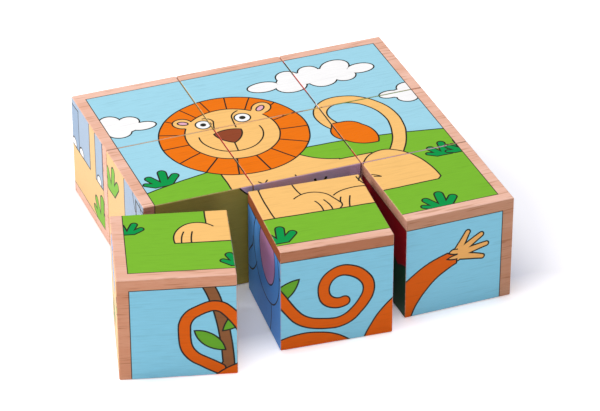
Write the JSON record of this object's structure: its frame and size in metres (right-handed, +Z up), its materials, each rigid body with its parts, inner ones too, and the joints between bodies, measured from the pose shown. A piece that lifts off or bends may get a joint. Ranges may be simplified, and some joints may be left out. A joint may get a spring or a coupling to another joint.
{
  "type": "picture cube puzzle",
  "caption": "Picture cube puzzle of solid beech cubes that close up into a flat square, each face printed with its share of a picture.",
  "frame": {"origin": "on the table, under the middle of the closed square, at the middle of the centre block's bottom face", "axes": "+Z up, +Y to the back of the picture, +X to its right"},
  "size_m": [0.1432, 0.1298, 0.04],
  "materials": {
    "printed_beech": "satin beech, printed with coloured inks on every face inside a bare wood margin"
  },
  "bodies": {
    "back_left": {"back_left_block": "printed_beech"},
    "back_centre": {"back_centre_block": "printed_beech"},
    "back_right": {"back_right_block": "printed_beech"},
    "middle_left": {"middle_left_block": "printed_beech"},
    "centre": {"centre_block": "printed_beech"},
    "middle_right": {"middle_right_block": "printed_beech"},
    "front_left": {"front_left_block": "printed_beech"},
    "front_centre": {"front_centre_block": "printed_beech"},
    "front_right": {"front_right_block": "printed_beech"}
  },
  "joints": [
    {"name": "back_left_tip", "type": "hinge", "parent": "centre", "child": "back_left", "pos_m": [-0.0402, 0.0602, 0], "axis": [-1, 0, 0], "range_deg": [0, 90]},
    {"name": "back_centre_tip", "type": "hinge", "parent": "centre", "child": "back_centre", "pos_m": [0, 0.0602, 0], "axis": [-1, 0, 0], "range_deg": [0, 90]},
    {"name": "back_right_tip", "type": "hinge", "parent": "centre", "child": "back_right", "pos_m": [0.0402, 0.0602, 0], "axis": [-1, 0, 0], "range_deg": [0, 90]},
    {"name": "middle_left_tip", "type": "hinge", "parent": "centre", "child": "middle_left", "pos_m": [-0.0602, 0, 0], "axis": [0, -1, 0], "range_deg": [0, 90]},
    {"name": "middle_right_tip", "type": "hinge", "parent": "centre", "child": "middle_right", "pos_m": [0.0602, 0, 0], "axis": [0, 1, 0], "range_deg": [0, 90]},
    {"name": "front_right_tip", "type": "hinge", "parent": "centre", "child": "front_right", "pos_m": [0.0402, -0.0602, 0], "axis": [1, 0, 0], "range_deg": [0, 90]},
    {"name": "front_centre_close", "type": "hinge", "parent": "centre", "child": "front_centre", "pos_m": [-0.05508, 0.01848, 0], "axis": [0, 0, 1], "range_deg": [0, 4.8]},
    {"name": "front_left_close", "type": "hinge", "parent": "centre", "child": "front_left", "pos_m": [-0.06742, 0.02457, 0], "axis": [0, 0, 1], "range_deg": [0, 15.5]}
  ],
  "couplings": [
    {"joint": "front_left_close", "follows": "front_centre_close", "ratio": 3.2292}
  ]
}
